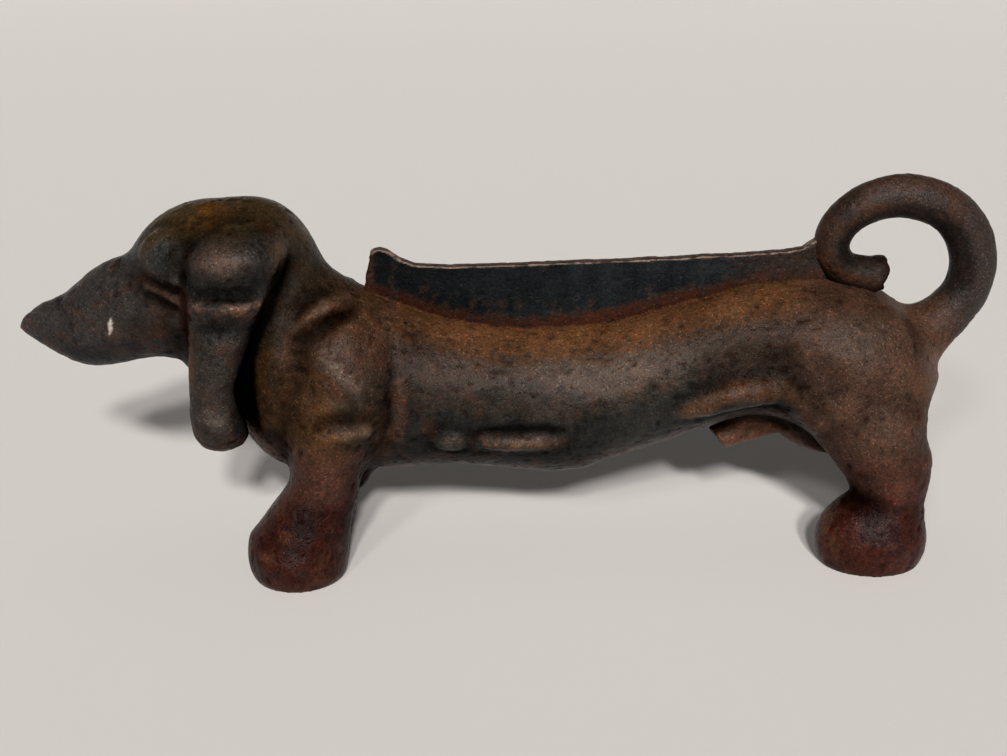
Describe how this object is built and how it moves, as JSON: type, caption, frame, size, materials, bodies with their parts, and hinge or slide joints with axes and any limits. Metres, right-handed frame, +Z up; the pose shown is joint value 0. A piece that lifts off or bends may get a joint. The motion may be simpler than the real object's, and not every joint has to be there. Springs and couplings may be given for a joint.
{
  "type": "boot scraper",
  "caption": "Cast-iron boot scraper shaped as a standing dachshund, with an upright scraping blade along its back and a hooked tail to lift it by.",
  "frame": {"origin": "on the ground, below the middle of the overall length and width", "axes": "+Z up, the head points along -X, the dog's left side faces -Y"},
  "size_m": [0.5368, 0.1166, 0.2154],
  "materials": {
    "left_body_casting": "sand-cast surface, rusted brown, with worn dark paint on the head and lower flank",
    "right_body_casting": "sand-cast surface, rusted brown, with worn dark paint on the head and lower flank",
    "scraper_blade": "worn blue-black paint over iron, rust along the base and the top edge",
    "tail_hook": "dark brown rust with a worn, slightly glossy grip",
    "screws": "rusted slotted steel"
  },
  "bodies": {
    "root": {"left_body_casting": "left_body_casting", "right_body_casting": "right_body_casting", "scraper_blade": "scraper_blade", "tail_hook": "tail_hook", "neck_screw": "screws", "front_blade_screw": "screws", "rear_blade_screw": "screws", "tail_screw": "screws"}
  },
  "joints": []
}
